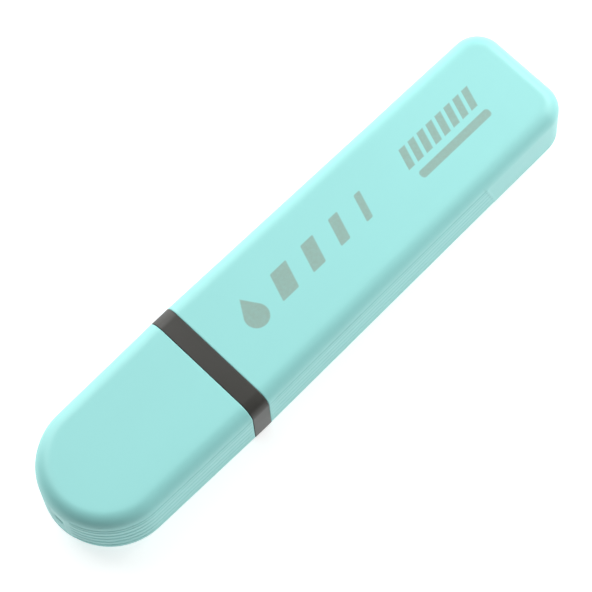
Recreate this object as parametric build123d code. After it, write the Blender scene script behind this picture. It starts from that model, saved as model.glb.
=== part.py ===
from build123d import *
import math
import os

# A flat capped highlighter lying on its back face.
# X runs along the pen with the cap's round end at -X and the closed barrel end at +X,
# Y runs across it, and Z is up, with z = 0 on the surface it lies on.
# All sizes are in millimetres.

LENGTH = 120.0
THICKNESS = 14.8
COLLAR_WIDTH = 26.1
REAR_WIDTH = 24.0
CAP_END_RADIUS = 12.75
REAR_CORNER = 5.5
EDGE = 3.0
WALL = 1.5
REAR_WALL = 2.0

CAP_LENGTH = 36.5
COLLAR_LENGTH = 3.95
CAP_GAP = 0.1
SEAM = 0.05
FIT_GAP = 0.03

# Lengthwise ribs on the side walls, made by the grooves between them.
GROOVES = 5
GROOVE_PITCH = 1.75
GROOVE_DEPTH = 0.25
GROOVE_WIDTH = 1.0
GROOVE_STOP_TOP = 37.2
GROOVE_STOP_LEAN = 0.28
GROOVE_CLEAR_ANGLE = 24.0

VENT_WIDTH = 2.4
VENT_HEIGHT = 1.6

# Tip holder: plug in the barrel, shoulder and nose in the cap.
PLUG_LENGTH = 8.0
PLUG_WALL = 0.95
SNAP_HEIGHT = 0.25
SNAP_WIDTH = 1.0
SNAP_SETBACK = 5.0
SNAP_ROOT = 0.09
SHOULDER_LENGTH = 7.0
SHOULDER_GAP = 0.3
SHOULDER_WALL = 1.3
BEAD_HEIGHT = 0.15
BEAD_WIDTH = 0.8
SEAT_RADIUS = 4.3
SEAT_LENGTH = 5.5
NOSE_LENGTH = 6.0
NOSE_ROOT_RADIUS = 4.0
NOSE_TIP_RADIUS = 3.3
AIR_SLOT = 0.7

# Chisel nib.
NIB_WIDTH = 5.0
NIB_THICK = 3.2
NIB_CORNER = 1.2
NIB_REACH = 5.5
NIB_TAIL = 25.0
NIB_SLANT = 2.6
NIB_BEVEL_RUN = 1.6
NIB_BEVEL_RISE = 0.9
NIB_GAP = 0.04

# Ink reservoir.
CORE_RADIUS = 4.6
CORE_SETBACK = 0.6
CORE_LENGTH = 74.0
FILM = 0.2
BREATHER_RADIUS = 0.55
BREATHER_WALL = 0.15
BREATHER_DEPTH = 0.8

# Ribs inside the barrel that cradle the reservoir and stop its rear end.
CRADLE_Y = 4.2
CRADLE_THICK = 1.0
CRADLE_CLEAR = 0.15
CRADLE_FRONT_GAP = 1.0
STOP_Y = 2.6

# Inner cap that seals on the nose seat.
CUP_GAP = 0.08
CUP_WALL = 0.85
CUP_DEPTH = 23.0
FIN_THICK = 1.0
FIN_LENGTH = 8.0

# Smallest radii left on the inner faces, and how far a cutting shape runs past what it cuts.
LEAST_CORNER = 1.0
LEAST_EDGE = 0.6
OVERSHOOT = 1.0

END_X = LENGTH / 2
CAP_MOUTH = -END_X + CAP_LENGTH
COLLAR_REAR = CAP_MOUTH + COLLAR_LENGTH
MID_Z = THICKNESS / 2
HALF = COLLAR_WIDTH / 2
SHOULDER_FRONT = CAP_MOUTH - SHOULDER_LENGTH
SEAT_FRONT = SHOULDER_FRONT - SEAT_LENGTH
NOSE_FRONT = SEAT_FRONT - NOSE_LENGTH
CORE_X = CAP_MOUTH + CORE_SETBACK
CORE_END = CORE_X + CORE_LENGTH
FILM_RADIUS = CORE_RADIUS + FILM


def barrel_plan(inset, front=COLLAR_REAR):
    """Barrel outline seen from above: square mouth, slight taper, two round rear corners."""
    rear = END_X - inset
    corner = max(REAR_CORNER - inset, LEAST_CORNER)
    taper = (COLLAR_WIDTH - REAR_WIDTH) / 2 / (END_X - COLLAR_REAR)
    front_half = HALF - inset - taper * (front - COLLAR_REAR)
    rear_half = REAR_WIDTH / 2 - inset
    points = [(front, -front_half), (rear, -rear_half), (rear, rear_half), (front, front_half)]
    plan = Polygon(*points, align=None)
    return fillet(plan.vertices().group_by(Axis.X)[-1], corner)


def cap_plan(inset, mouth):
    """Cap outline seen from above: square mouth, sides tangent to one round end."""
    radius = CAP_END_RADIUS - inset
    centre = -END_X + CAP_END_RADIUS
    half = HALF - inset
    reach = math.hypot(mouth - centre, half)
    angle = math.atan2(half, mouth - centre) + math.acos(radius / reach)
    touch = (centre + radius * math.cos(angle), radius * math.sin(angle))
    mirror = (touch[0], -touch[1])
    side_a = Line((mouth, half), touch)
    end = ThreePointArc(touch, (centre - radius, 0), mirror)
    side_b = Line(mirror, (mouth, -half))
    rim = Line((mouth, -half), (mouth, half))
    return make_face([side_a, end, side_b, rim])


def rounded_slab(plan, inset, mouth_side):
    """Extrude a plan between the two flat faces and round its edges, except at the mouth."""
    body = extrude(Pos(0, 0, inset) * plan, THICKNESS - 2 * inset)
    levels = body.edges().group_by(Axis.Z)
    rims = list(levels[0]) + list(levels[-1])
    mouth = body.faces().sort_by(Axis.X)[mouth_side].center().X
    chosen = [edge for edge in rims if abs(edge.center().X - mouth) > SEAM / 2]
    return fillet(chosen, max(EDGE - inset, LEAST_EDGE))


def barrel_slab(inset, front=COLLAR_REAR):
    return rounded_slab(barrel_plan(inset, front), inset, 0)


def cap_slab(inset, mouth=CAP_MOUTH - CAP_GAP):
    return rounded_slab(cap_plan(inset, mouth), inset, -1)


def block(x_a, x_b, inset):
    """Straight stretch of the pen's rounded section, inset all round."""
    corner = max(EDGE - inset, LEAST_EDGE)
    section = RectangleRounded(COLLAR_WIDTH - 2 * inset, THICKNESS - 2 * inset, corner)
    return extrude(Plane.YZ.offset(x_a) * Pos(0, MID_Z) * section, x_b - x_a)


def rod(x_a, x_b, radius, tip_radius=None):
    """Round bar along X, or a cone when a second radius is given."""
    span = x_b - x_a
    place = Pos(x_a, 0, MID_Z) * Rot(0, 90, 0)
    low = (Align.CENTER, Align.CENTER, Align.MIN)
    if tip_radius is None:
        return place * Cylinder(radius, span, align=low)
    return place * Cone(radius, tip_radius, span, align=low)


def box(x_a, x_b, y_a, y_b, z_a, z_b):
    low = (Align.MIN, Align.MIN, Align.MIN)
    return Pos(x_a, y_a, z_a) * Box(x_b - x_a, y_b - y_a, z_b - z_a, align=low)


def groove_ring(plan_of, z):
    """V-shaped ring round a plan outline at height z."""
    half = GROOVE_WIDTH / 2
    slope = math.degrees(math.atan(GROOVE_DEPTH / half))
    ring = extrude(Pos(0, 0, z - half) * plan_of(-OVERSHOOT), GROOVE_WIDTH)
    root = plan_of(GROOVE_DEPTH)
    upper = extrude(Pos(0, 0, z) * root, half, taper=-slope)
    lower = extrude(Pos(0, 0, z) * root, -half, taper=-slope)
    return ring - upper - lower


def groove_heights():
    first = MID_Z - GROOVE_PITCH * (GROOVES - 1) / 2
    return [first + GROOVE_PITCH * step for step in range(GROOVES)]


def make_barrel():
    """Hollow barrel with its grooved sides, the snap groove at its mouth and the cradle inside."""
    shell = barrel_slab(0.0, COLLAR_REAR + SEAM)
    front = COLLAR_REAR - OVERSHOOT
    hollow = barrel_slab(WALL, front)
    hollow -= box(END_X - REAR_WALL, END_X, -HALF, HALF, 0, THICKNESS)
    barrel = shell - hollow
    barrel -= snap_ring(SNAP_HEIGHT + FIT_GAP, SNAP_WIDTH + 2 * FIT_GAP)
    stop_x = GROOVE_STOP_TOP + GROOVE_STOP_LEAN * THICKNESS
    reach = [(front, 0), (stop_x, 0), (GROOVE_STOP_TOP, THICKNESS), (front, THICKNESS)]
    zone = extrude(Plane.XZ * Polygon(*reach, align=None), COLLAR_WIDTH, both=True)
    for z in groove_heights():
        barrel -= groove_ring(lambda inset: barrel_plan(inset, front), z) & zone
    return barrel + cradle_ribs(hollow)


def mouth_band(x_a, x_b, inset):
    """Stretch of the tapering barrel section near its mouth."""
    return barrel_slab(inset) & box(x_a, x_b, -HALF, HALF, 0, THICKNESS)


def snap_ring(height, width):
    """Ridge round the plug, and the groove for it in the barrel's mouth."""
    centre = COLLAR_REAR + SNAP_SETBACK
    outer = mouth_band(centre - width / 2, centre + width / 2, WALL + FIT_GAP - height)
    return outer - barrel_slab(WALL + SNAP_ROOT)


def cradle_ribs(hollow):
    """Four long ribs beside the round reservoir and two short stops behind it."""
    front = COLLAR_REAR + PLUG_LENGTH + CRADLE_FRONT_GAP
    ribs = []
    for y in (-CRADLE_Y, CRADLE_Y):
        rib = box(front, END_X, y - CRADLE_THICK / 2, y + CRADLE_THICK / 2, 0, THICKNESS)
        ribs.append(rib - rod(front - OVERSHOOT, END_X + OVERSHOOT, FILM_RADIUS + CRADLE_CLEAR))
    behind = CORE_END + CRADLE_CLEAR
    for y in (-STOP_Y, STOP_Y):
        ribs.append(box(behind, END_X, y - CRADLE_THICK / 2, y + CRADLE_THICK / 2, 0, THICKNESS))
    margin = barrel_slab(WALL / 2, COLLAR_REAR)
    return [rib & margin for rib in ribs]


def make_cap_shell():
    """Outer cap: its grooves stop either side of the air vent in its end wall."""
    past_mouth = CAP_MOUTH + OVERSHOOT
    cap = cap_slab(0.0) - cap_slab(WALL, past_mouth)
    centre = -END_X + CAP_END_RADIUS
    spread = math.tan(math.radians(GROOVE_CLEAR_ANGLE)) * (CAP_END_RADIUS + OVERSHOOT)
    far = -END_X - OVERSHOOT
    smooth = extrude(Polygon((centre, 0), (far, -spread), (far, spread), align=None), THICKNESS)
    for z in groove_heights():
        cap -= groove_ring(lambda inset: cap_plan(inset, past_mouth), z) - smooth
    slot = Plane.YZ.offset(far) * Pos(0, MID_Z) * SlotOverall(VENT_WIDTH, VENT_HEIGHT)
    return cap - extrude(slot, WALL + 2 * OVERSHOOT)


def nib_section(grow):
    return RectangleRounded(NIB_WIDTH + 2 * grow, NIB_THICK + 2 * grow, NIB_CORNER + grow)


def nib_bar(x_a, x_b, grow=0.0):
    return extrude(Plane.YZ.offset(x_a) * Pos(0, MID_Z) * nib_section(grow), x_b - x_a)


def make_tip_holder():
    """Collar, plug behind it, hollow shoulder in front of it, seat and nose bored for the nib."""
    collar = block(CAP_MOUTH, COLLAR_REAR, 0.0)
    plug_inset = WALL + FIT_GAP
    plug = mouth_band(COLLAR_REAR, COLLAR_REAR + PLUG_LENGTH, plug_inset)
    holder = collar + plug + snap_ring(SNAP_HEIGHT, SNAP_WIDTH)
    shoulder_inset = WALL + SHOULDER_GAP
    holder += block(SHOULDER_FRONT, CAP_MOUTH, shoulder_inset)
    bead_x = CAP_MOUTH - SHOULDER_LENGTH / 2
    holder += block(bead_x - BEAD_WIDTH / 2, bead_x + BEAD_WIDTH / 2, shoulder_inset - BEAD_HEIGHT)
    plug_end = COLLAR_REAR + PLUG_LENGTH + OVERSHOOT
    holder -= block(CAP_MOUTH, plug_end, plug_inset + PLUG_WALL)
    holder -= block(SHOULDER_FRONT + SHOULDER_WALL, CAP_MOUTH + OVERSHOOT, shoulder_inset + SHOULDER_WALL)
    holder += rod(SEAT_FRONT, SHOULDER_FRONT, SEAT_RADIUS)
    holder += rod(NOSE_FRONT, SEAT_FRONT, NOSE_TIP_RADIUS, NOSE_ROOT_RADIUS)
    front = NOSE_FRONT - OVERSHOOT
    holder -= nib_bar(front, CAP_MOUTH, NIB_GAP)
    half = AIR_SLOT / 2
    for side in (-1, 1):
        z = MID_Z + side * (NIB_THICK / 2 + NIB_GAP)
        holder -= box(front, CAP_MOUTH, -half, half, z - half, z + half)
    return holder


def make_nib():
    """Chisel nib: a rounded flat bar whose writing end slants across the pen."""
    tip = NOSE_FRONT - NIB_REACH
    front = tip - OVERSHOOT
    bar = nib_bar(tip, NOSE_FRONT + NIB_TAIL)
    half = NIB_WIDTH / 2
    slant = Polygon((front, -half), (front, half), (tip + NIB_SLANT, half), (tip, -half), align=None)
    bar -= extrude(slant, THICKNESS)
    root = tip + NIB_SLANT + NIB_BEVEL_RUN
    for side in (-1, 1):
        edge = MID_Z + side * NIB_THICK / 2
        inner = edge - side * NIB_BEVEL_RISE
        outer = edge + side * OVERSHOOT
        wedge = [(front, inner), (tip, inner), (root, edge), (root, outer), (front, outer)]
        bar -= extrude(Plane.XZ * Polygon(*wedge, align=None), NIB_WIDTH, both=True)
    return bar


def make_reservoir():
    """Fibre core, the film wrapped round it and the thin breather tube along its side."""
    front = CORE_X - OVERSHOOT
    rear = CORE_END + OVERSHOOT
    core = rod(CORE_X, CORE_END, CORE_RADIUS)
    core -= nib_bar(front, NOSE_FRONT + NIB_TAIL + NIB_GAP, NIB_GAP)
    film = rod(CORE_X, CORE_END, FILM_RADIUS) - rod(front, rear, CORE_RADIUS)
    seat = Pos(0, 0, CORE_RADIUS - BREATHER_DEPTH)
    tube = rod(CORE_X, CORE_END, BREATHER_RADIUS) - rod(front, rear, BREATHER_RADIUS - BREATHER_WALL)
    core -= seat * rod(front, rear, BREATHER_RADIUS)
    return core, film, seat * tube


def make_inner_cap():
    """Cup that seals on the nose seat, held in the cap by fins that touch its walls."""
    bore = SEAT_RADIUS + CUP_GAP
    mouth = SHOULDER_FRONT - SHOULDER_GAP
    closed = mouth - CUP_DEPTH
    cup = rod(closed, mouth, bore + CUP_WALL)
    cup -= rod(closed + CUP_WALL, mouth + OVERSHOOT, bore)
    fin_end = closed + FIN_LENGTH
    half = FIN_THICK / 2
    fins = box(closed, fin_end, -HALF, HALF, MID_Z - half, MID_Z + half)
    fins += box(closed, fin_end, -half, half, 0, THICKNESS)
    fins = fins & cap_slab(WALL + FIT_GAP)
    return cup + (fins - rod(closed - OVERSHOOT, mouth, bore + CUP_WALL / 2))


def one_solid(shape):
    solids = shape.solids()
    if len(solids) != 1:
        raise ValueError(f"expected one solid, found {len(solids)}")
    return solids[0]


core, film, tube = make_reservoir()
nodes = {
    "barrel": make_barrel(),
    "tip_holder": make_tip_holder(),
    "nib": make_nib(),
    "reservoir_core": core,
    "reservoir_film": film,
    "breather_tube": tube,
    "cap_shell": make_cap_shell(),
    "inner_cap": make_inner_cap(),
}

os.makedirs("parts", exist_ok=True)
for name, shape in nodes.items():
    solid = one_solid(shape)
    solid.label = name
    export_step(solid, f"parts/{name}.step")
    print(name, round(solid.volume, 1))
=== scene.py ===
import math

import bmesh
import bpy
from mathutils import Matrix, Vector


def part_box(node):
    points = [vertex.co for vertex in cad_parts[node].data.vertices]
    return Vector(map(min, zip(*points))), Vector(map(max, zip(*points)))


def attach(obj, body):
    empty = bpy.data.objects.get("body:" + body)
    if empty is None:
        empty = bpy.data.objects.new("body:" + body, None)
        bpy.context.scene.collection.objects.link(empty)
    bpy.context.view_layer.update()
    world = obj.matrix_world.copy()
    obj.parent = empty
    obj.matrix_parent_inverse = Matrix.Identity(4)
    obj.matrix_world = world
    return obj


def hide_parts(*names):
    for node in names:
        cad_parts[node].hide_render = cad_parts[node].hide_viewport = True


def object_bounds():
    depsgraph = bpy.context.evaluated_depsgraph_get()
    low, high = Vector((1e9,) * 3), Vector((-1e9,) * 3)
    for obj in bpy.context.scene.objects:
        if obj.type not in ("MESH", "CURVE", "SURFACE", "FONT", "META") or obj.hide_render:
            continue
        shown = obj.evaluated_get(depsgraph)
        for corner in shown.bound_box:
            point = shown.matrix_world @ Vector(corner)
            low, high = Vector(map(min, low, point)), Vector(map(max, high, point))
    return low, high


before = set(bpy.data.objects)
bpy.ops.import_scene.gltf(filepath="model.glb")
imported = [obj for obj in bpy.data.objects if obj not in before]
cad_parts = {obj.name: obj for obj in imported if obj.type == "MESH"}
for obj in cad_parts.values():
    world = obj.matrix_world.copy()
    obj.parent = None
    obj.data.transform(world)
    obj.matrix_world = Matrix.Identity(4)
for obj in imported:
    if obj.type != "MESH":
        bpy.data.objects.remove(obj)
cad_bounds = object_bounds()

# ---------------------------------------------------------------------------------------------
# Barrel. The long outer body of the pen: one thin-walled moulding in pastel turquoise plastic,
# open at the collar and closed at the rear, with fine grooves along both side walls for grip.
# The tip holder's plug snaps into its mouth.

MM = 0.001
barrel_low, barrel_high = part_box("barrel")
pen_low, pen_high = cad_bounds

THICK = pen_high[2] - pen_low[2]
MID_Z = (pen_high[2] + pen_low[2]) / 2
HALF_WIDTH = (pen_high[1] - pen_low[1]) / 2
EDGE = 3.0 * MM
FLAT_MARGIN = 0.5 * MM
WALL = 1.5 * MM
RIM = 0.16 * MM
REAR_HALF_WIDTH = 12.0 * MM
REAR_CORNER = 5.5 * MM
TAPER = (HALF_WIDTH - REAR_HALF_WIDTH) / (barrel_high[0] - barrel_low[0])

GROOVES = 5
GROOVE_PITCH = 1.75 * MM
GROOVE_WIDTH = 0.7 * MM
GROOVE_DEPTH = 0.16 * MM
GROOVE_ROWS = 12
SIDE_SHARE = 0.6
GROOVE_REACH = 1.15
MOUTH_PLAIN = 0.2 * MM
RIB_FADE = 0.3 * MM
STOP_TOP = barrel_low[0] + 56.8 * MM
STOP_LEAN = 0.28
STOP_RAMP = 0.35 * MM
STOP_MARGIN = 1.0 * MM
STOP_RUN = 5.0 * MM
STOP_BEAD = 0.06 * MM
STOP_BEAD_OFFSET = 0.1 * MM
STOP_BEAD_SPREAD = 0.25 * MM
LEDGE = 0.1 * MM
LEDGE_HEIGHT = 0.16 * MM
EDGE_STEPS = 14
LEDGE_STEPS = 6
EDGE_FADE = 0.2 * MM
MERGE = 0.001 * MM

RIM_STEPS = 5
GRIP_START = 0.4 * MM
GRIP_STEPS = 26
STOP_STEPS = 36
TAIL_STEPS = 8
CORNER_STEPS = 18
REAR_STEPS = 7

TURQUOISE = (0.32, 0.735, 0.71)
BODY_ROUGHNESS = 0.42
BODY_GLOSS = 0.5

PRINT_GREY = (0.27, 0.41, 0.355)
INK_EDGE = 0.22 * MM
INK_DEPTH = 0.3 * MM
INK_FADE = 0.1 * MM
INK_LEAN = 0.35
DROP_X = barrel_low[0] + 9.8 * MM
DROP_TIP = 4.2 * MM
DROP_BOWL = -0.2 * MM
DROP_RADIUS = 2.4 * MM
STROKES = ((18.0 * MM, 4.0 * MM), (25.3 * MM, 3.1 * MM), (32.0 * MM, 2.3 * MM), (38.2 * MM, 1.5 * MM))
STROKE_Y = 1.0 * MM
STROKE_HEIGHT = 5.4 * MM
STROKE_CORNER = 0.3 * MM
SWATCH_X = barrel_low[0] + 58.75 * MM
SWATCH_Y = 2.0 * MM
SWATCH_SIZE = (18.0 * MM, 4.15 * MM)
HATCH_PITCH = 2.35 * MM
HATCH_HALF = 0.33
LINE_Y = -2.4 * MM
LINE_HEIGHT = 1.7 * MM
LINE_CORNER = 0.7 * MM


def steps(first, last, count):
    """Evenly spaced values from first to last, both included."""
    return [first + (last - first) * k / (count - 1) for k in range(count)]


def arc(centre, radius, angles):
    """Outline points round an arc, each with its outward normal."""
    found = []
    for angle in angles:
        normal = Vector((math.cos(angle), math.sin(angle)))
        found.append((centre[0] + radius * normal[0], centre[1] + radius * normal[1], normal))
    return found


def wall_rows():
    """Heights of the rows down a side wall, top first: close together at each groove."""
    rows = []
    for k in range(GROOVES):
        middle = (k - (GROOVES - 1) / 2) * GROOVE_PITCH
        reach = GROOVE_REACH * GROOVE_WIDTH / 2
        rows += steps(middle - reach, middle + reach, GROOVE_ROWS + 1)
    return rows[::-1]


def half_section(inset):
    """(inset, z) from the top face round the edge, down the wall and round to the bottom face."""
    radius = EDGE - inset
    top = THICK / 2 - inset
    rows = [(EDGE + FLAT_MARGIN, top)]
    edge_end = math.pi / 2 - LEDGE_HEIGHT / EDGE
    for angle in steps(0, edge_end, EDGE_STEPS)[:-1] + steps(edge_end, math.pi / 2, LEDGE_STEPS):
        rows.append((inset + radius * (1 - math.sin(angle)), top - radius * (1 - math.cos(angle))))
    below = [(side, -height) for side, height in reversed(rows)]
    wall = [(inset, height) for height in wall_rows()]
    return [(side, MID_Z + height) for side, height in rows + wall + below]


def skin(mesh, plan, insets):
    """One skin of a shell: a column of points at each outline point, and both flat faces."""
    columns = []
    for (x, y, normal), inset in zip(plan, insets):
        columns.append([mesh.verts.new((x - normal[0] * side, y - normal[1] * side, z))
                        for side, z in half_section(inset)])
    last = len(columns) - 1
    for left, right in zip(columns, columns[1:]):
        for upper in range(len(left) - 1):
            mesh.faces.new((left[upper], left[upper + 1], right[upper + 1], right[upper]))
    middle = columns[last // 2][0].co.x
    turn = max(i for i in range(last // 2) if abs(columns[i][0].co.x - middle) > MERGE)
    for row in (0, -1):
        for i in range(turn):
            near, far = columns[i:i + 2], columns[last - i - 1:last - i + 1]
            mesh.faces.new([column[row] for column in near + far])
        mesh.faces.new([column[row] for column in columns[turn:last - turn + 1]])
    return columns[0] + columns[-1][::-1]


def shell(name, half_outline):
    """Closed thin-walled shell: outer skin, inner skin and the rim that joins them at the mouth."""
    mesh = bmesh.new()
    outer = skin(mesh, *both_sides(*half_outline(0.0)))
    inner = skin(mesh, *both_sides(*half_outline(WALL)))
    for k in range(len(outer)):
        after = (k + 1) % len(outer)
        mesh.faces.new((outer[after], outer[k], inner[k], inner[after]))
    bmesh.ops.recalc_face_normals(mesh, faces=mesh.faces)
    data = bpy.data.meshes.new(name)
    mesh.to_mesh(data)
    mesh.free()
    return data


def rolled_mouth(mouth, inward, inset):
    """(x, inset) of the mouth columns, which roll the rim over."""
    return [(mouth + inward * RIM * (1 - math.cos(a)), inset + RIM * (1 - math.sin(a)))
            for a in steps(0, math.pi / 2, RIM_STEPS)]


def both_sides(half_plan, half_insets):
    """Mirror a half outline, which ends on the pen's long axis, to its other side."""
    mirrored = [(x, -y, Vector((normal[0], -normal[1]))) for x, y, normal in reversed(half_plan)]
    return half_plan + mirrored[1:], half_insets + half_insets[::-1][1:]


def barrel_half(inset):
    """Half outline of the barrel from its mouth to the middle of the rear wall, with insets."""
    mouth, rear = barrel_low[0], barrel_high[0]
    lean = math.atan(TAPER)
    normal = Vector((math.sin(lean), math.cos(lean)))
    centre_y = REAR_HALF_WIDTH + TAPER * REAR_CORNER - REAR_CORNER / math.cos(lean)
    centre = (rear - REAR_CORNER, centre_y)
    touch = centre[0] + REAR_CORNER * math.sin(lean)
    stop = STOP_TOP - STOP_MARGIN
    places = rolled_mouth(mouth, 1, inset)
    places += [(x, inset) for x in steps(mouth + GRIP_START, stop, GRIP_STEPS)]
    places += [(x, inset) for x in steps(stop, stop + STOP_RUN, STOP_STEPS)[1:]]
    places += [(x, inset) for x in steps(stop + STOP_RUN, touch, TAIL_STEPS)[1:-1]]
    plan = [(x, HALF_WIDTH - TAPER * (x - mouth), normal) for x, _ in places]
    plan += arc(centre, REAR_CORNER, steps(math.pi / 2 - lean, 0, CORNER_STEPS))
    plan += [(rear, y, Vector((1, 0))) for y in steps(centre[1], 0, REAR_STEPS)[1:]]
    return plan, [depth for _, depth in places] + [inset] * (len(plan) - len(places))


def smooth_step(value, low, high):
    """0 up to low, 1 from high, and a smooth rise between them."""
    t = min(max((value - low) / (high - low), 0.0), 1.0)
    return t * t * (3 - 2 * t)


def on_wall(co):
    """1 on the straight part of a side wall, falling to 0 where the rounded edges start."""
    straight = THICK / 2 - EDGE
    return 1 - smooth_step(abs(co.z - MID_Z), straight, straight + EDGE_FADE)


def ledge(co):
    """Small step at the top and bottom of the ribbed wall, which stands a little proud."""
    above = abs(co.z - MID_Z) - (THICK / 2 - EDGE)
    if above < 0:
        return 0.0
    fall = 1 - smooth_step(above, LEDGE_HEIGHT, EDGE / 2)
    return LEDGE * smooth_step(above, 0.0, LEDGE_HEIGHT) * fall


def barrel_ribs(co):
    """(share of the grooves' depth, lift of the bead that ends them) at a point of the barrel."""
    half = HALF_WIDTH - TAPER * (co.x - barrel_low[0])
    if abs(co.y) < half - WALL / 2 or co.x > barrel_high[0] - REAR_CORNER:
        return 0.0, 0.0
    stop = STOP_TOP + STOP_LEAN * (pen_high[2] - EDGE - co.z)
    near = smooth_step(co.x, barrel_low[0] + MOUTH_PLAIN, barrel_low[0] + MOUTH_PLAIN + RIB_FADE)
    share = near * (1 - smooth_step(co.x, stop - STOP_RAMP, stop))
    spread = (co.x - stop - STOP_BEAD_OFFSET) / STOP_BEAD_SPREAD
    lift = STOP_BEAD * math.exp(-spread * spread) * on_wall(co) - share * ledge(co)
    return SIDE_SHARE * share * on_wall(co), lift


def mark_ribs(data, rule):
    """Store a rule's two values at every point of a mesh, for the groove tree."""
    marks = [rule(vertex.co) for vertex in data.vertices]
    for label, k in (("ribbed", 0), ("lift", 1)):
        field = data.attributes.new(label, "FLOAT", "POINT")
        field.data.foreach_set("value", [mark[k] for mark in marks])


barrel_mesh = shell("barrel_moulding", barrel_half)
mark_ribs(barrel_mesh, barrel_ribs)


class Wire:
    """A node socket that builds Math nodes when it meets an operator."""

    def __init__(self, tree, socket):
        self.tree = tree
        self.socket = socket

    def maths(self, operation, *values, clamp=False):
        node = self.tree.nodes.new("ShaderNodeMath")
        node.operation = operation
        node.use_clamp = clamp
        for slot, value in zip(node.inputs, (self, *values)):
            join(self.tree, value, slot)
        return Wire(self.tree, node.outputs[0])

    def __add__(self, other):
        return self.maths("ADD", other)

    def __sub__(self, other):
        return self.maths("SUBTRACT", other)

    def __mul__(self, other):
        return self.maths("MULTIPLY", other)

    def __truediv__(self, other):
        return self.maths("DIVIDE", other)

    def __rsub__(self, other):
        return self.maths("MULTIPLY", -1.0).maths("ADD", other)

    __radd__ = __add__
    __rmul__ = __mul__

    def __pow__(self, power):
        return self.maths("POWER", power)

    def __abs__(self):
        return self.maths("ABSOLUTE")

    def least(self, other):
        return self.maths("MINIMUM", other)

    def most(self, other):
        return self.maths("MAXIMUM", other)

    def held(self):
        """The value kept between 0 and 1."""
        return self.maths("ADD", 0.0, clamp=True)


def join(tree, value, slot):
    """Link a wire to a socket, or set the socket to a plain value."""
    if isinstance(value, Wire):
        tree.links.new(value.socket, slot)
    else:
        slot.default_value = value


class Workshop:
    """One node tree, with a method that adds any node to it."""

    def __init__(self, tree):
        self.tree = tree

    def node(self, kind, settings=None, out=0, **sockets):
        """New node: its settings first, then its sockets by name, or by place as in0, in1 and so on."""
        node = self.tree.nodes.new(kind)
        for key, value in (settings or {}).items():
            setattr(node, key, value)
        for key, value in sockets.items():
            label = int(key[2:]) if key[2:].isdigit() else key.replace("_", " ")
            join(self.tree, value, node.inputs[label])
        return Wire(self.tree, node.outputs[out])


def groove_tree():
    """Geometry Nodes tree that presses evenly spaced grooves into a marked side wall."""
    tree = bpy.data.node_groups.new("side_grooves", "GeometryNodeTree")
    face = tree.interface
    face.new_socket("Geometry", in_out="INPUT", socket_type="NodeSocketGeometry")
    for label in ("Pitch", "Width", "Depth", "Middle"):
        face.new_socket(label, in_out="INPUT", socket_type="NodeSocketFloat")
    face.new_socket("Finish", in_out="INPUT", socket_type="NodeSocketMaterial")
    face.new_socket("Geometry", in_out="OUTPUT", socket_type="NodeSocketGeometry")
    shop = Workshop(tree)
    given = tree.nodes.new("NodeGroupInput")
    value = {slot.name: Wire(tree, slot) for slot in given.outputs if slot.name}
    place = shop.node("GeometryNodeInputPosition")
    height = shop.node("ShaderNodeSeparateXYZ", out=2, in0=place)
    ribbed = shop.node("GeometryNodeInputNamedAttribute", {"data_type": "FLOAT"}, Name="ribbed")
    lift = shop.node("GeometryNodeInputNamedAttribute", {"data_type": "FLOAT"}, Name="lift")
    turns = (height - value["Middle"]) / value["Pitch"]
    away = abs((turns + 0.5).maths("FRACT") - 0.5) * value["Pitch"]
    depth = shop.node("ShaderNodeMapRange", {"interpolation_type": "SMOOTHSTEP"}, Value=away,
                      From_Min=0.0, From_Max=value["Width"] * 0.5, To_Min=value["Depth"], To_Max=0.0)
    normal = shop.node("GeometryNodeInputNormal")
    offset = shop.node("ShaderNodeVectorMath", {"operation": "SCALE"}, in0=normal,
                       Scale=lift - depth * ribbed)
    moved = shop.node("GeometryNodeSetPosition", Geometry=value["Geometry"], Offset=offset)
    smooth = shop.node("GeometryNodeSetShadeSmooth", Geometry=moved)
    real = shop.node("GeometryNodeRealizeInstances", Geometry=smooth)
    dressed = shop.node("GeometryNodeSetMaterial", Geometry=real, Material=value["Finish"])
    join(tree, dressed, tree.nodes.new("NodeGroupOutput").inputs["Geometry"])
    return tree


side_grooves = groove_tree()


def placed(name, data):
    """New object for a mesh, at the origin."""
    piece = bpy.data.objects.new(name, data)
    bpy.context.collection.objects.link(piece)
    return piece


def made_plain(piece, modifier):
    """Bake a piece's one modifier into a plain mesh of its own."""
    bpy.context.view_layer.update()
    ready = piece.evaluated_get(bpy.context.evaluated_depsgraph_get())
    plain = bpy.data.meshes.new_from_object(ready)
    piece.modifiers.remove(modifier)
    piece.data = plain


def grown(name, data, tree, **inputs):
    """Run a Geometry Nodes tree over a mesh and keep the result as a plain mesh object."""
    piece = placed(name, data)
    modifier = piece.modifiers.new("grooves", "NODES")
    modifier.node_group = tree
    for slot in tree.interface.items_tree:
        if slot.in_out == "INPUT" and slot.name in inputs:
            modifier[slot.identifier] = inputs[slot.name]
    made_plain(piece, modifier)
    return piece


def material(name):
    """New material; returns it, its workshop and its surface shader."""
    made = bpy.data.materials.new(name)
    made.use_nodes = True
    made.node_tree.nodes.clear()
    shader = made.node_tree.nodes.new("ShaderNodeBsdfPrincipled")
    output = made.node_tree.nodes.new("ShaderNodeOutputMaterial")
    made.node_tree.links.new(shader.outputs["BSDF"], output.inputs["Surface"])
    return made, Workshop(made.node_tree), shader


def noise(shop, scale, detail=2.0, roughness=0.5, stretch=(1.0, 1.0, 1.0)):
    """Noise on object coordinates, drawn out along an axis where its stretch is under 1."""
    place = shop.node("ShaderNodeTexCoord", out=3)
    drawn = shop.node("ShaderNodeVectorMath", {"operation": "MULTIPLY"}, in0=place, in1=stretch)
    return shop.node("ShaderNodeTexNoise", Vector=drawn, Scale=scale, Detail=detail, Roughness=roughness)


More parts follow.
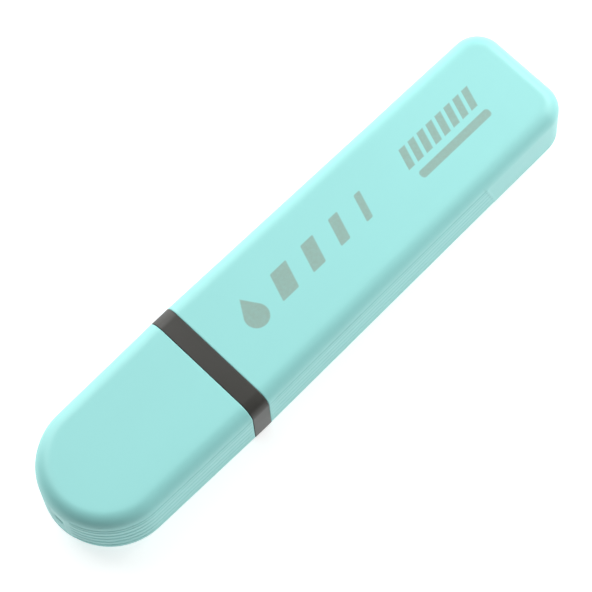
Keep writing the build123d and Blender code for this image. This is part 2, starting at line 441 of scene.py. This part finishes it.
def blend_colour(shop, share, first, second):
    """Mix two colours by a share from 0 to 1."""
    first, second = (value if isinstance(value, Wire) else (*value, 1.0) for value in (first, second))
    return shop.node("ShaderNodeMix", {"data_type": "RGBA"}, out=2, in0=share, in6=first, in7=second)


def moulded_colour(shop, colour):
    """Colour of a moulding, with the faint clouds and flow marks of the melt."""
    clouds = noise(shop, 55.0, 3.0)
    flow = noise(shop, 90.0, stretch=(0.25, 1.0, 1.0))
    share = ((clouds * 0.6 + flow * 0.4 - 0.5) * 0.9 + 0.5).held()
    deep = tuple(c * 0.96 for c in colour)
    light = tuple(c * 1.03 for c in colour)
    return blend_colour(shop, share, deep, light)


def moulded_surface(shop, shader, roughness, gloss):
    """Fine eroded texture of the mould: tiny grain, and a roughness that wanders a little."""
    grain = noise(shop, 5200.0, 2.0, 0.6)
    waves = noise(shop, 160.0)
    join(shop.tree, waves * 0.08 + (roughness - 0.04), shader.inputs["Roughness"])
    bump = shop.node("ShaderNodeBump", Strength=0.12, Distance=0.00004, Height=grain + waves * 0.6)
    join(shop.tree, bump, shader.inputs["Normal"])
    shader.inputs["Specular IOR Level"].default_value = gloss


def ink_bar(x, y, centre, size, corner=0.0, slant=0.0):
    """Signed distance to a rounded bar, which leans along X by slant for each unit of Y."""
    across = abs(y - centre[1]) - (size[1] / 2 - corner)
    along = abs(x - centre[0] - (y - centre[1]) * slant) - (size[0] / 2 - corner)
    outside = (across.most(0.0) ** 2.0 + along.most(0.0) ** 2.0) ** 0.5
    return outside + across.most(along).least(0.0) - corner


def ink_drop(x, y, tip, bowl, radius):
    """Signed distance to an ink drop whose tip points along Y."""
    reach = tip[1] - bowl[1]
    sine = radius / reach
    cosine = math.sqrt(1 - sine * sine)
    round_part = ((x - bowl[0]) ** 2.0 + (y - bowl[1]) ** 2.0) ** 0.5 - radius
    sides = abs(x - tip[0]) * cosine + (y - tip[1]) * sine
    return round_part.least(sides.most((bowl[1] + radius * sine) - y))


def printed_marks(shop):
    """Ink on the barrel's top face: a drop, four slanting strokes, a hatched swatch and a line."""
    place = shop.node("ShaderNodeTexCoord", out=3)
    x, y, z = (shop.node("ShaderNodeSeparateXYZ", out=k, in0=place) for k in range(3))
    nearest = ink_drop(x, y, (DROP_X, DROP_TIP), (DROP_X, DROP_BOWL), DROP_RADIUS)
    for middle, width in STROKES:
        size = (width, STROKE_HEIGHT)
        centre = (barrel_low[0] + middle, STROKE_Y)
        nearest = nearest.least(ink_bar(x, y, centre, size, STROKE_CORNER, INK_LEAN))
    swatch = ink_bar(x, y, (SWATCH_X, SWATCH_Y), SWATCH_SIZE, 0.0, INK_LEAN)
    along = x - (y - SWATCH_Y) * INK_LEAN - (SWATCH_X - SWATCH_SIZE[0] / 2)
    hatch = abs((along / HATCH_PITCH).maths("FRACT") - HATCH_HALF) - HATCH_HALF
    line = ink_bar(x, y, (SWATCH_X, LINE_Y), (SWATCH_SIZE[0], LINE_HEIGHT), LINE_CORNER)
    nearest = nearest.least(swatch.most(hatch * HATCH_PITCH)).least(line)
    ink = (0.5 - nearest / INK_EDGE).held()
    top_face = ((z - (pen_high[2] - INK_DEPTH)) / INK_FADE).held()
    return ink * top_face


def barrel_finish():
    made, shop, shader = material("pastel_plastic_printed")
    cover = printed_marks(shop) * (noise(shop, 1500.0) * 0.3 + 0.75).held()
    colour = blend_colour(shop, cover, moulded_colour(shop, TURQUOISE), PRINT_GREY)
    join(shop.tree, colour, shader.inputs["Base Color"])
    moulded_surface(shop, shader, BODY_ROUGHNESS, BODY_GLOSS)
    return made


barrel = grown("barrel_moulding", barrel_mesh, side_grooves, Pitch=GROOVE_PITCH, Width=GROOVE_WIDTH,
               Depth=GROOVE_DEPTH, Middle=MID_Z, Finish=barrel_finish())
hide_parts("barrel")
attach(barrel, "pen")

# ---------------------------------------------------------------------------------------------
# Cap. A short thin-walled moulding in the same plastic, with one round end and the same grooves
# all round it. They stop either side of a small air vent in the middle of its end wall.

cap_low, cap_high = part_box("cap_shell")

CAP_RADIUS = 12.75 * MM
CAP_CENTRE = cap_low[0] + CAP_RADIUS
VENT_WIDTH = 2.4 * MM
VENT_HEIGHT = 1.6 * MM
VENT_DISH = 0.25 * MM
VENT_PANEL = math.radians(9.5)
VENT_STEP = 0.1 * MM
VENT_BEAD = 0.05 * MM
VENT_RAMP = math.radians(1.5)
VENT_BEAD_SPREAD = math.radians(1.2)
VENT_DISH_HALF = (1.9 * MM, 1.7 * MM)
VENT_DISH_FLAT = 0.45
VENT_FINE = math.radians(26.0)
RIB_START = math.radians(12.0)
RIB_FULL = math.radians(17.0)
SIDE_BLEND = 4 * MM
CAP_SIDE_STEPS = 16
ROUND_STEPS = 30
VENT_STEPS = 34
CUT_STEPS = 8
CRISP = math.radians(50)


def cap_half(inset):
    """Half outline of the cap from its mouth to the middle of the round end, with insets."""
    mouth = cap_high[0]
    reach = math.hypot(mouth - CAP_CENTRE, HALF_WIDTH)
    touch = math.atan2(HALF_WIDTH, mouth - CAP_CENTRE) + math.acos(CAP_RADIUS / reach)
    normal = Vector((math.cos(touch), math.sin(touch)))
    end = (CAP_CENTRE + CAP_RADIUS * normal[0], CAP_RADIUS * normal[1])
    slope = (HALF_WIDTH - end[1]) / (mouth - end[0])
    places = rolled_mouth(mouth, -1, inset)
    places += [(x, inset) for x in steps(mouth - GRIP_START, end[0], CAP_SIDE_STEPS)[:-1]]
    plan = [(x, HALF_WIDTH - slope * (mouth - x), normal) for x, _ in places]
    near_vent = math.pi - VENT_FINE
    angles = steps(touch, near_vent, ROUND_STEPS)[:-1] + steps(near_vent, math.pi, VENT_STEPS)
    plan += arc((CAP_CENTRE, 0), CAP_RADIUS, angles)
    plan[-1] = (cap_low[0], 0.0, Vector((-1, 0)))
    return plan, [depth for _, depth in places] + [inset] * (len(plan) - len(places))


def cap_ribs(co):
    """(share of the grooves' depth, lift of the beads and of the vent's dish) at a point of the cap."""
    round_end = co.x < CAP_CENTRE
    out = math.hypot(co.x - CAP_CENTRE, co.y) if round_end else abs(co.y)
    if out < CAP_RADIUS - WALL / 2:
        return 0.0, 0.0
    angle = abs(math.atan2(co.y, CAP_CENTRE - co.x))
    near = 1 - smooth_step(co.x, cap_high[0] - MOUTH_PLAIN - RIB_FADE, cap_high[0] - MOUTH_PLAIN)
    along_side = smooth_step(co.x, CAP_CENTRE - SIDE_BLEND, CAP_CENTRE)
    share = near * smooth_step(angle, RIB_START, RIB_FULL)
    spread = (angle - VENT_PANEL) / VENT_BEAD_SPREAD
    reach = math.hypot(co.y / VENT_DISH_HALF[0], (co.z - MID_Z) / VENT_DISH_HALF[1])
    dish = 1 - smooth_step(reach, VENT_DISH_FLAT, 1.0)
    low = VENT_STEP * (1 - smooth_step(angle, VENT_PANEL - VENT_RAMP, VENT_PANEL))
    lift = VENT_BEAD * math.exp(-spread * spread) - (low + VENT_DISH * dish if round_end else 0.0)
    deep = share * on_wall(co) * (1 - (1 - SIDE_SHARE) * along_side)
    return deep, lift * on_wall(co) - share * ledge(co)


def cap_finish():
    made, shop, shader = material("pastel_plastic")
    join(shop.tree, moulded_colour(shop, TURQUOISE), shader.inputs["Base Color"])
    moulded_surface(shop, shader, BODY_ROUGHNESS, BODY_GLOSS)
    return made


cap_mesh = shell("cap_moulding", cap_half)
mark_ribs(cap_mesh, cap_ribs)
cap = grown("cap_moulding", cap_mesh, side_grooves, Pitch=GROOVE_PITCH, Width=GROOVE_WIDTH,
            Depth=GROOVE_DEPTH, Middle=MID_Z, Finish=cap_finish())


def ring(x, half_width, half_height, corner, corner_steps):
    """Points round a rounded rectangle that stands across the pen at x."""
    points = []
    for k, (side, rise) in enumerate(((1, 1), (-1, 1), (-1, -1), (1, -1))):
        for angle in steps(k * math.pi / 2, (k + 1) * math.pi / 2, corner_steps):
            points.append((x, side * (half_width - corner) + corner * math.cos(angle),
                           MID_Z + rise * (half_height - corner) + corner * math.sin(angle)))
    return points


def bar_along(name, x_a, x_b, half_width, half_height, corner):
    """Rounded bar along X, for cutting."""
    mesh = bmesh.new()
    loops = [[mesh.verts.new(point) for point in ring(x, half_width, half_height, corner, CUT_STEPS)]
             for x in (x_a, x_b)]
    mesh.faces.new(loops[0])
    mesh.faces.new(loops[1][::-1])
    for k in range(len(loops[0])):
        after = (k + 1) % len(loops[0])
        mesh.faces.new((loops[0][k], loops[0][after], loops[1][after], loops[1][k]))
    bmesh.ops.remove_doubles(mesh, verts=mesh.verts, dist=MERGE)
    bmesh.ops.recalc_face_normals(mesh, faces=mesh.faces)
    data = bpy.data.meshes.new(name)
    mesh.to_mesh(data)
    mesh.free()
    return placed(name, data)


def cut_by(piece, cutter):
    """Take a cutter's shape out of a piece, keep the new edges crisp, and remove the cutter."""
    modifier = piece.modifiers.new("cut", "BOOLEAN")
    modifier.operation = "DIFFERENCE"
    modifier.solver = "EXACT"
    modifier.object = cutter
    made_plain(piece, modifier)
    piece.data.set_sharp_from_angle(angle=CRISP)
    bpy.data.objects.remove(cutter)


cut_by(cap, bar_along("vent_slot", cap_low[0] - MM, cap_low[0] + 3 * MM,
                      VENT_WIDTH / 2, VENT_HEIGHT / 2, VENT_HEIGHT / 2))
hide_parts("cap_shell")
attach(cap, "cap")

# ---------------------------------------------------------------------------------------------
# Tip holder. One moulding in warm dark grey plastic: the collar that shows between cap and barrel,
# the plug that snaps into the barrel, the hollow shoulder that the cap slides over, and the round
# seat and tapering nose, which are bored through for the nib.

holder_low, holder_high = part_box("tip_holder")
nib_low, nib_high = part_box("nib")
nib_half_width = (nib_high[1] - nib_low[1]) / 2
nib_half_height = (nib_high[2] - nib_low[2]) / 2

SEAM = 0.05 * MM
HOLDER_ROUND = 0.14 * MM
NOSE_TIP = 3.3 * MM
NOSE_ROOT = 4.0 * MM
NOSE_LENGTH = 6.0 * MM
SEAT_RADIUS = 4.3 * MM
SEAT_LENGTH = 5.5 * MM
SHOULDER_INSET = 1.8 * MM
SHOULDER_LENGTH = 7.0 * MM
SHOULDER_WALL = 1.3 * MM
BEAD_RISE = 0.15 * MM
BEAD_HALF = 0.4 * MM
PLUG_INSET = 1.53 * MM
PLUG_WALL = 0.95 * MM
SNAP_SETBACK = 5.0 * MM
SNAP_RISE = 0.25 * MM
SNAP_HALF = 0.5 * MM
BORE_GAP = 0.04 * MM
NIB_CORNER = 1.2 * MM
AIR_SLOT = 0.35 * MM
AIR_SLOT_CORNER = 0.05 * MM
HOLDER_LEAST = 0.6 * MM
HOLDER_STEPS = 14
SOFT_STEPS = 5
SOFT_SHARE = 0.45
COLLAR_GREY = (0.046, 0.045, 0.040)
COLLAR_ROUGHNESS = 0.38
COLLAR_GLOSS = 0.4


def softened(stations, radius):
    """Round every turn of a profile by replacing its corner with a short curve."""
    stations = [Vector(station) for station in stations]
    found = []
    for k, corner in enumerate(stations):
        before = stations[k - 1]
        after = stations[(k + 1) % len(stations)]
        ends = []
        for other in (before, after):
            run = other - corner
            ends.append(corner + run * min(radius / run.length, SOFT_SHARE))
        for t in steps(0, 1, SOFT_STEPS):
            found.append(ends[0] * (1 - t) ** 2 + corner * 2 * t * (1 - t) + ends[1] * t ** 2)
    return found


def hollow_piece(name, stations, radius):
    """Ring-shaped piece from a closed profile of (x, half width, half height, corner) stations."""
    mesh = bmesh.new()
    loops = [[mesh.verts.new(point) for point in ring(*station, HOLDER_STEPS)]
             for station in softened(stations, radius)]
    for k, loop in enumerate(loops):
        other = loops[(k + 1) % len(loops)]
        for i in range(len(loop)):
            after = (i + 1) % len(loop)
            mesh.faces.new((loop[i], loop[after], other[after], other[i]))
    bmesh.ops.remove_doubles(mesh, verts=mesh.verts, dist=MERGE)
    bmesh.ops.dissolve_degenerate(mesh, edges=mesh.edges, dist=MERGE)
    bmesh.ops.recalc_face_normals(mesh, faces=mesh.faces)
    for face in mesh.faces:
        face.smooth = True
    data = bpy.data.meshes.new(name)
    mesh.to_mesh(data)
    mesh.free()
    return placed(name, data)


def holder_stations():
    """Profile of the tip holder, outside from front to rear and then inside back to the front."""
    nose = holder_low[0]
    seat = nose + NOSE_LENGTH
    shoulder = seat + SEAT_LENGTH
    collar = shoulder + SHOULDER_LENGTH
    mouth = barrel_low[0] - SEAM
    rear = holder_high[0]
    bead = collar - SHOULDER_LENGTH / 2
    snap = mouth + SNAP_SETBACK

    def around(x, radius):
        return x, radius, radius, radius

    def inside(x, inset):
        narrow = TAPER * max(x - mouth, 0.0)
        return x, HALF_WIDTH - inset - narrow, THICK / 2 - inset, max(EDGE - inset, HOLDER_LEAST)

    def bore(x):
        return x, nib_half_width + BORE_GAP, nib_half_height + BORE_GAP, NIB_CORNER + BORE_GAP

    def raised(middle, half, inset, rise):
        front, back, top = middle - half, middle + half, inset - rise
        return inside(front, inset), inside(front, top), inside(back, top), inside(back, inset)

    cavity = PLUG_INSET + PLUG_WALL
    outside = [around(nose, NOSE_TIP), around(seat, NOSE_ROOT),
               around(seat, SEAT_RADIUS), around(shoulder, SEAT_RADIUS),
               inside(shoulder, SHOULDER_INSET), *raised(bead, BEAD_HALF, SHOULDER_INSET, BEAD_RISE),
               inside(collar, SHOULDER_INSET), inside(collar, 0.0), inside(mouth, 0.0),
               inside(mouth, PLUG_INSET), *raised(snap, SNAP_HALF, PLUG_INSET, SNAP_RISE),
               inside(rear, PLUG_INSET)]
    back_wall = shoulder + SHOULDER_WALL
    hollow = [inside(rear, cavity), inside(collar, cavity), inside(collar, SHOULDER_INSET + SHOULDER_WALL),
              inside(back_wall, SHOULDER_INSET + SHOULDER_WALL), bore(back_wall), bore(nose)]
    return outside + hollow


def holder_finish():
    made, shop, shader = material("dark_collar_plastic")
    join(shop.tree, moulded_colour(shop, COLLAR_GREY), shader.inputs["Base Color"])
    moulded_surface(shop, shader, COLLAR_ROUGHNESS, COLLAR_GLOSS)
    return made


holder = hollow_piece("tip_holder_moulding", holder_stations(), HOLDER_ROUND)
cut_by(holder, bar_along("air_slots", holder_low[0] - MM, holder_low[0] + NOSE_LENGTH + SEAT_LENGTH,
                         AIR_SLOT, nib_half_height + AIR_SLOT, AIR_SLOT_CORNER))
holder.data.materials.append(holder_finish())
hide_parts("tip_holder")
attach(holder, "pen")

# ---------------------------------------------------------------------------------------------
# Nib. A bar of bonded polyester fibre, ground to a slanting chisel, soaked with turquoise ink and
# pushed into the nose. Its tail reaches back into the reservoir.

NIB_SLANT = 2.6 * MM
NIB_BEVEL = 1.6 * MM
NIB_EDGE_HALF = 0.7 * MM
NIB_ROUND = 0.3 * MM
NIB_STEPS = 10
NIB_ROUND_STEPS = 6
NIB_BEVEL_STEPS = 12
NIB_TAIL_STEPS = 14
NIB_INK = (0.16, 0.62, 0.58)


def nib_point(station, point):
    """Slant and thin a point of the nib's ring: station is its distance behind the writing edge."""
    _, y, z = point
    run = NIB_SLANT + NIB_BEVEL
    slant = NIB_SLANT * max(1 - station / run, 0.0) * (y / nib_half_width + 1) / 2
    behind = min((station + slant) / run, 1.0)
    half = NIB_EDGE_HALF + (nib_half_height - NIB_EDGE_HALF) * behind
    return nib_low[0] + station + slant, y, MID_Z + (z - MID_Z) / nib_half_height * half


def nib_bar():
    """Closed bar of the nib: rounded writing edge, bevels, straight tail."""
    mesh = bmesh.new()
    loops = []
    stations = [(NIB_ROUND * (1 - math.cos(a)), NIB_ROUND * (1 - math.sin(a)))
                for a in steps(0, math.pi / 2, NIB_ROUND_STEPS)]
    stations += [(x, 0.0) for x in steps(2 * NIB_ROUND, NIB_SLANT + NIB_BEVEL, NIB_BEVEL_STEPS)]
    length = nib_high[0] - nib_low[0]
    tail = NIB_SLANT + NIB_BEVEL + MM
    stations += [(x, 0.0) for x in steps(tail, length - NIB_ROUND, NIB_TAIL_STEPS)]
    stations.append((length, NIB_ROUND))
    for station, shrink in stations:
        corner = NIB_CORNER - shrink
        points = ring(0.0, nib_half_width - shrink, nib_half_height - shrink, corner, NIB_STEPS)
        loops.append([mesh.verts.new(nib_point(station, point)) for point in points])
    mesh.faces.new(loops[0])
    mesh.faces.new(loops[-1][::-1])
    for loop, other in zip(loops, loops[1:]):
        for i in range(len(loop)):
            after = (i + 1) % len(loop)
            mesh.faces.new((loop[i], loop[after], other[after], other[i]))
    bmesh.ops.recalc_face_normals(mesh, faces=mesh.faces)
    for face in mesh.faces:
        face.smooth = True
    data = bpy.data.meshes.new("nib_bar")
    mesh.to_mesh(data)
    mesh.free()
    return placed("nib_bar", data)


def fibre_finish(name, colour, stretch):
    """Bonded fibre: fine strands along the pen, soaked unevenly with ink."""
    made, shop, shader = material(name)
    strands = noise(shop, 2600.0, 3.0, 0.6, stretch)
    soak = noise(shop, 240.0)
    deep = tuple(c * 0.72 for c in colour)
    soaked = blend_colour(shop, strands * 0.7 + soak * 0.3, deep, colour)
    join(shop.tree, soaked, shader.inputs["Base Color"])
    join(shop.tree, strands * 0.1 + 0.8, shader.inputs["Roughness"])
    bump = shop.node("ShaderNodeBump", Strength=0.6, Distance=0.0001, Height=strands)
    join(shop.tree, bump, shader.inputs["Normal"])
    shader.inputs["Sheen Weight"].default_value = 0.3
    return made


nib = nib_bar()
nib.data.materials.append(fibre_finish("nib_fibre", NIB_INK, (0.12, 1.0, 1.0)))
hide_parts("nib")
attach(nib, "pen")

# ---------------------------------------------------------------------------------------------
# Ink reservoir and breather. A rod of crimped fibre that holds the ink, rolled in a thin clear
# film, with a fine tube beside the fibres that lets air back in. They lie loose in the barrel.

RESERVOIR_INK = (0.24, 0.66, 0.62)
FILM_CLEAR = (0.84, 0.88, 0.88)
TUBE_CLEAR = (0.86, 0.86, 0.82)


def dress(node, finish):
    """Give a CAD node its finish."""
    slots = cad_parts[node].material_slots
    if not slots:
        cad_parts[node].data.materials.append(finish)
    for used in slots:
        used.material = finish


def thin_finish(name, colour, roughness):
    """Drawn film or tube: smooth, with a faint haze."""
    made, shop, shader = material(name)
    haze = noise(shop, 300.0)
    dull = tuple(c * 0.94 for c in colour)
    join(shop.tree, blend_colour(shop, haze, dull, colour), shader.inputs["Base Color"])
    join(shop.tree, haze * 0.1 + roughness, shader.inputs["Roughness"])
    return made


dress("reservoir_core", fibre_finish("reservoir_fibre", RESERVOIR_INK, (0.04, 1.0, 1.0)))
dress("reservoir_film", thin_finish("reservoir_film", FILM_CLEAR, 0.18))
dress("breather_tube", thin_finish("breather_tube", TUBE_CLEAR, 0.25))

# ---------------------------------------------------------------------------------------------
# Inner cap. A small cup in natural white plastic, pushed into the cap on four fins. Its mouth
# seals on the nose seat, so that the nib doesn't dry out although the cap is vented.

NATURAL_WHITE = (0.80, 0.80, 0.76)
SEAL_ROUGHNESS = 0.36
SEAL_GLOSS = 0.5


def seal_finish():
    made, shop, shader = material("natural_white_plastic")
    join(shop.tree, moulded_colour(shop, NATURAL_WHITE), shader.inputs["Base Color"])
    moulded_surface(shop, shader, SEAL_ROUGHNESS, SEAL_GLOSS)
    return made


dress("inner_cap", seal_finish())

# ---------------------------------------------------------------------------------------------
# Stage: a plain white table, soft boxes above, behind and to the rear of the pen, and the camera.

TABLE_HALF = 3.0
TABLE_DROP = 0.00002
TABLE_GLOW = 0.66
TABLE_DULL = (0.59, 0.59, 0.59)
TABLE_BRIGHT = (0.61, 0.61, 0.61)
TABLE_ROUGHNESS = 0.9
SKY = 0.1


def table():
    """White table under the pen, which gives a little light of its own, as a light table does."""
    mesh = bpy.data.meshes.new("table")
    low = pen_low[2] - TABLE_DROP
    corners = [(x * TABLE_HALF, y * TABLE_HALF, low) for x, y in ((-1, -1), (1, -1), (1, 1), (-1, 1))]
    mesh.from_pydata(corners, [], [(0, 1, 2, 3)])
    made, shop, shader = material("white_table")
    white = blend_colour(shop, noise(shop, 3.0), TABLE_DULL, TABLE_BRIGHT)
    join(shop.tree, white, shader.inputs["Base Color"])
    shader.inputs["Roughness"].default_value = TABLE_ROUGHNESS
    shader.inputs["Emission Color"].default_value = (1.0, 1.0, 1.0, 1.0)
    shader.inputs["Emission Strength"].default_value = TABLE_GLOW
    mesh.materials.append(made)
    placed("table", mesh)


def soft_box(name, place, size, power):
    """Rectangular soft light that faces the pen."""
    lamp = bpy.data.lights.new(name, "AREA")
    lamp.shape = "RECTANGLE"
    lamp.size, lamp.size_y = size
    lamp.energy = power
    unit = placed(name, lamp)
    unit.location = place
    unit.rotation_euler = (-Vector(place)).to_track_quat("-Z", "Y").to_euler()


table()
soft_box("light_far_side", (0.0, 1.05, 0.75), (0.9, 0.8), 5.8)
soft_box("light_far_low", (0.0, 1.2, 0.2), (1.2, 0.35), 4.8)
soft_box("light_far_high", (0.0, 0.78, 1.1), (0.7, 0.6), 5.0)
soft_box("light_rear_high", (0.78, 0.0, 1.1), (0.7, 0.6), 2.9)
soft_box("light_near_rear", (0.8, -0.6, 0.6), (0.7, 0.6), 4.4)
soft_box("light_close_rear", (0.42, 0.02, 0.3), (0.35, 0.25), 1.4)

world = bpy.data.worlds.new("studio")
world.use_nodes = True
world.node_tree.nodes["Background"].inputs["Color"].default_value = (1.0, 1.0, 1.0, 1.0)
world.node_tree.nodes["Background"].inputs["Strength"].default_value = SKY
bpy.context.scene.world = world
bpy.context.scene.view_settings.view_transform = "Standard"

CAMERA_LENS = 187.1
CAMERA_SENSOR = 36.0
CAMERA_NEAR = 0.01
CAMERA_DISTANCE = 0.5601
CAMERA_AROUND = math.radians(39.47)
CAMERA_UP = math.radians(69.11)
CAMERA_ROLL = math.radians(5.98)
CAMERA_AIM = Vector((-0.00035, -0.0004, MID_Z))

lens = bpy.data.cameras.new("camera")
lens.lens = CAMERA_LENS
lens.sensor_width = CAMERA_SENSOR
lens.clip_start = CAMERA_NEAR
camera = placed("camera", lens)
back = Vector((-math.sin(CAMERA_AROUND) * math.cos(CAMERA_UP),
               -math.cos(CAMERA_AROUND) * math.cos(CAMERA_UP), math.sin(CAMERA_UP)))
level = Vector((0, 0, 1)).cross(back).normalized()
upright = back.cross(level)
right = level * math.cos(CAMERA_ROLL) - upright * math.sin(CAMERA_ROLL)
turn = Matrix((right, back.cross(right), back)).transposed().to_4x4()
camera.matrix_world = Matrix.Translation(CAMERA_AIM + back * CAMERA_DISTANCE) @ turn
bpy.context.scene.camera = camera
